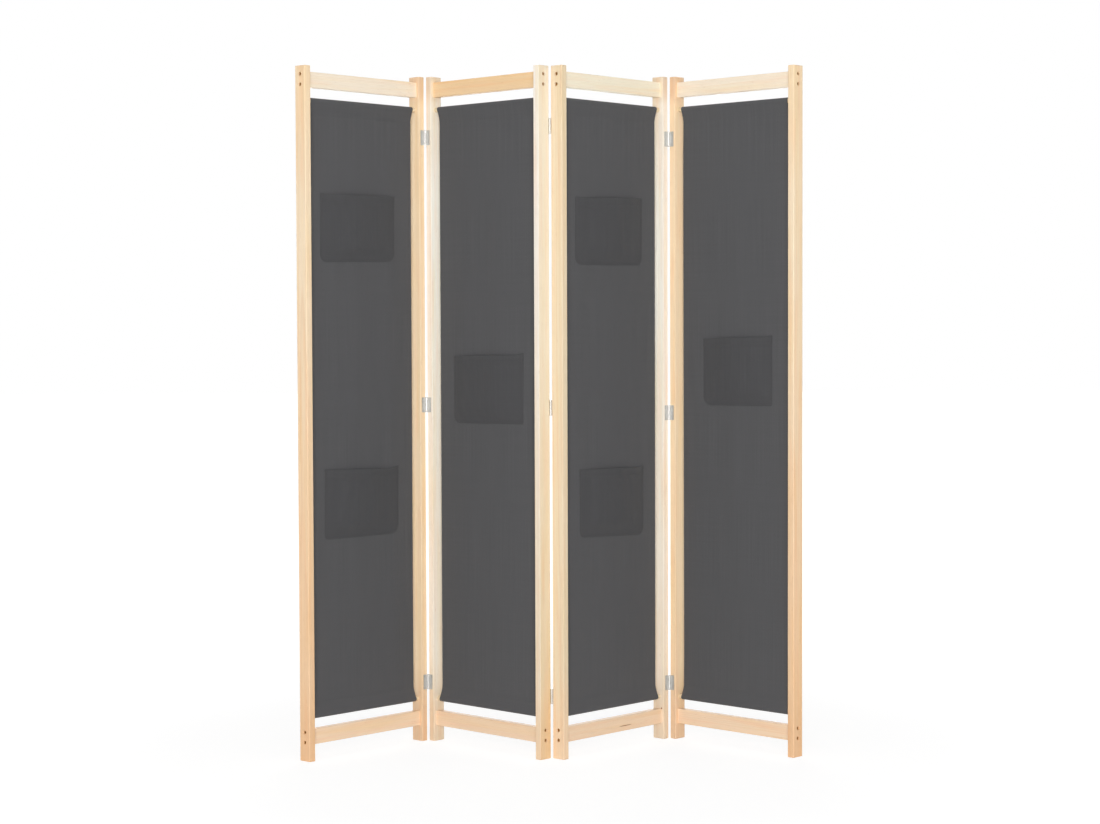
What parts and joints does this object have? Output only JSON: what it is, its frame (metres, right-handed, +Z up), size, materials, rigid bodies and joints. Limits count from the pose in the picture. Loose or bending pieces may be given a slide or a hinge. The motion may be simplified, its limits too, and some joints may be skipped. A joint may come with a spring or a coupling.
{
  "type": "fabric folding screen",
  "caption": "Free-standing folding room divider: pine-framed panels with taut grey cloth on rods and patch pockets, joined by steel butt hinges in a zigzag.",
  "frame": {"origin": "middle of the footprint, on the floor", "axes": "+X along the line of the screen to the viewer's right, +Y away from the front, +Z up"},
  "size_m": [1.2382, 0.3092, 1.7],
  "materials": {
    "pine": "planed and sanded pine, clear matt",
    "dowel": "turned dowel, bare",
    "cloth": "plain woven, matt",
    "pocket_cloth": "plain woven, matt",
    "zinc_steel": "zinc plated",
    "screw_steel": "yellow passivated zinc"
  },
  "bodies": {
    "panel_1": {"panel_1_left_stile": "pine", "panel_1_right_stile": "pine", "panel_1_top_rail": "pine", "panel_1_bottom_rail": "pine", "panel_1_top_rod": "dowel", "panel_1_bottom_rod": "dowel", "panel_1_cloth": "cloth", "panel_1_upper_pocket": "pocket_cloth", "panel_1_lower_pocket": "pocket_cloth", "panel_1_frame_screws": "screw_steel", "panel_1_hinge_screws": "zinc_steel", "left_seam_leaves_panel_1": "zinc_steel"},
    "panel_2": {"panel_2_left_stile": "pine", "panel_2_right_stile": "pine", "panel_2_top_rail": "pine", "panel_2_bottom_rail": "pine", "panel_2_top_rod": "dowel", "panel_2_bottom_rod": "dowel", "panel_2_cloth": "cloth", "panel_2_pocket": "pocket_cloth", "panel_2_frame_screws": "screw_steel", "panel_2_hinge_screws": "zinc_steel", "left_seam_leaves_panel_2": "zinc_steel", "left_seam_pins": "zinc_steel", "centre_seam_leaves_panel_2": "zinc_steel", "centre_seam_pins": "zinc_steel"},
    "panel_3": {"panel_3_left_stile": "pine", "panel_3_right_stile": "pine", "panel_3_top_rail": "pine", "panel_3_bottom_rail": "pine", "panel_3_top_rod": "dowel", "panel_3_bottom_rod": "dowel", "panel_3_cloth": "cloth", "panel_3_upper_pocket": "pocket_cloth", "panel_3_lower_pocket": "pocket_cloth", "panel_3_frame_screws": "screw_steel", "panel_3_hinge_screws": "zinc_steel", "centre_seam_leaves_panel_3": "zinc_steel", "right_seam_leaves_panel_3": "zinc_steel", "right_seam_pins": "zinc_steel"},
    "panel_4": {"panel_4_left_stile": "pine", "panel_4_right_stile": "pine", "panel_4_top_rail": "pine", "panel_4_bottom_rail": "pine", "panel_4_top_rod": "dowel", "panel_4_bottom_rod": "dowel", "panel_4_cloth": "cloth", "panel_4_pocket": "pocket_cloth", "panel_4_frame_screws": "screw_steel", "panel_4_hinge_screws": "zinc_steel", "right_seam_leaves_panel_4": "zinc_steel"}
  },
  "joints": [
    {"name": "fold_left", "type": "hinge", "parent": "panel_2", "child": "panel_1", "pos_m": [-0.31113, 0.13034, 0.85], "axis": [0, 0, -1], "range_deg": [-89, 91]},
    {"name": "fold_centre", "type": "hinge", "parent": "panel_2", "child": "panel_3", "pos_m": [0, -0.13034, 0.85], "axis": [0, 0, -1], "range_deg": [-89, 91]},
    {"name": "fold_right", "type": "hinge", "parent": "panel_3", "child": "panel_4", "pos_m": [0.31113, 0.13034, 0.85], "axis": [0, 0, 1], "range_deg": [-89, 91]}
  ]
}
